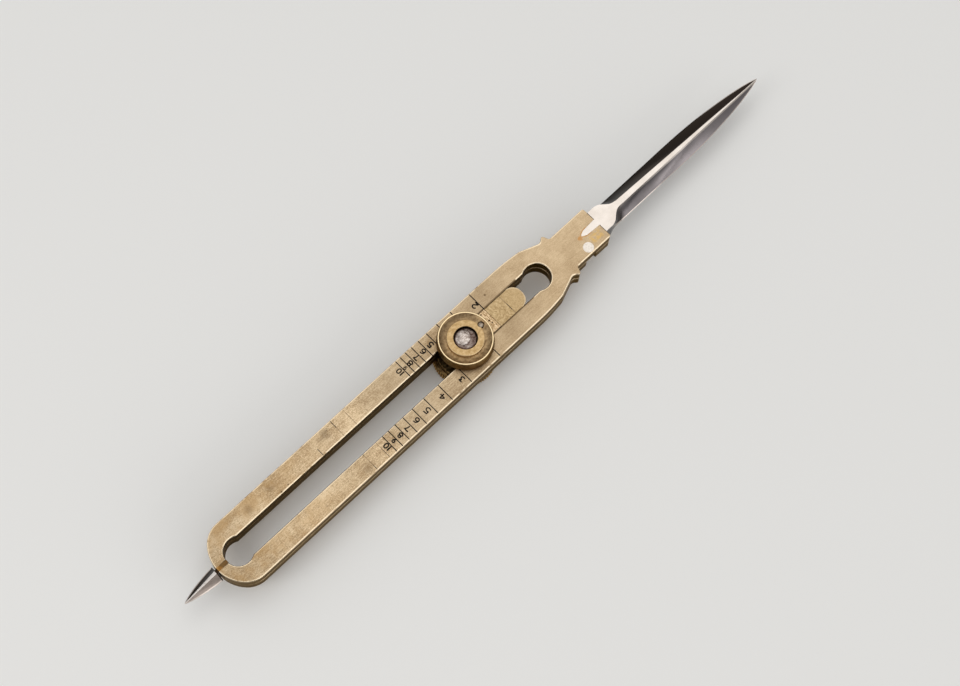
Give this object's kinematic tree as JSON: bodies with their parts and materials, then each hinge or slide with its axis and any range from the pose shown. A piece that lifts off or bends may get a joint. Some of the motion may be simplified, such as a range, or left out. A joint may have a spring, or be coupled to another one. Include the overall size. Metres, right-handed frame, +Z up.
{
  "type": "proportional divider",
  "caption": "Slotted double-leg proportional divider with steel points at both ends, joined by a sliding clamped pivot that sets the ratio between the two spans.",
  "frame": {"origin": "on the pivot axis, at the lower face of the clamp nut, with the legs closed", "axes": "+X along the legs to the long points, +Z up along the pivot axis out of the head, +Y completes the right-handed frame"},
  "size_m": [0.1693, 0.0144, 0.0121],
  "materials": {
    "leg_metal": "satin nickel silver, hand-worn",
    "slide_metal": "satin nickel silver, yellower",
    "head_metal": "turned nickel silver, brown in the hollow",
    "nut_metal": "turned nickel silver with a milled rim",
    "point_steel": "ground and polished",
    "pin_steel": "bright, lightly pitted",
    "engraving": "dark filled engraving",
    "braze": "orange-brown braze, dull"
  },
  "bodies": {
    "lower_arm": {"lower_leg": "leg_metal", "lower_long_point": "point_steel", "lower_short_point": "point_steel"},
    "lower_cursor": {"lower_slide": "slide_metal"},
    "head": {"upper_slide": "slide_metal", "pivot_stud": "pin_steel", "head_ring": "head_metal", "head_bush": "head_metal", "head_lock_pin": "pin_steel", "nut_washer": "nut_metal"},
    "upper_arm": {"upper_leg": "leg_metal", "upper_long_point": "point_steel", "upper_short_point": "point_steel", "steady_pin": "pin_steel"},
    "nut": {"clamp_nut": "nut_metal"}
  },
  "joints": [
    {"name": "ratio_slide", "type": "slide", "parent": "lower_arm", "child": "lower_cursor", "axis": [1, 0, 0], "range_m": [-0.0645, 0.0076]},
    {"name": "leg_opening", "type": "hinge", "parent": "lower_cursor", "child": "head", "pos_m": [0, 0, 0.0063], "axis": [0, 0, 1], "range_deg": [-150, 0]},
    {"name": "upper_leg_follow", "type": "slide", "parent": "head", "child": "upper_arm", "axis": [1, 0, 0], "range_m": [-0.0076, 0.0645]},
    {"name": "clamp_nut_turn", "type": "hinge", "parent": "head", "child": "nut", "pos_m": [0, 0, 0], "axis": [0, 0, -1], "range_deg": [0, 180]}
  ],
  "couplings": [
    {"joint": "upper_leg_follow", "follows": "ratio_slide", "ratio": -1}
  ]
}
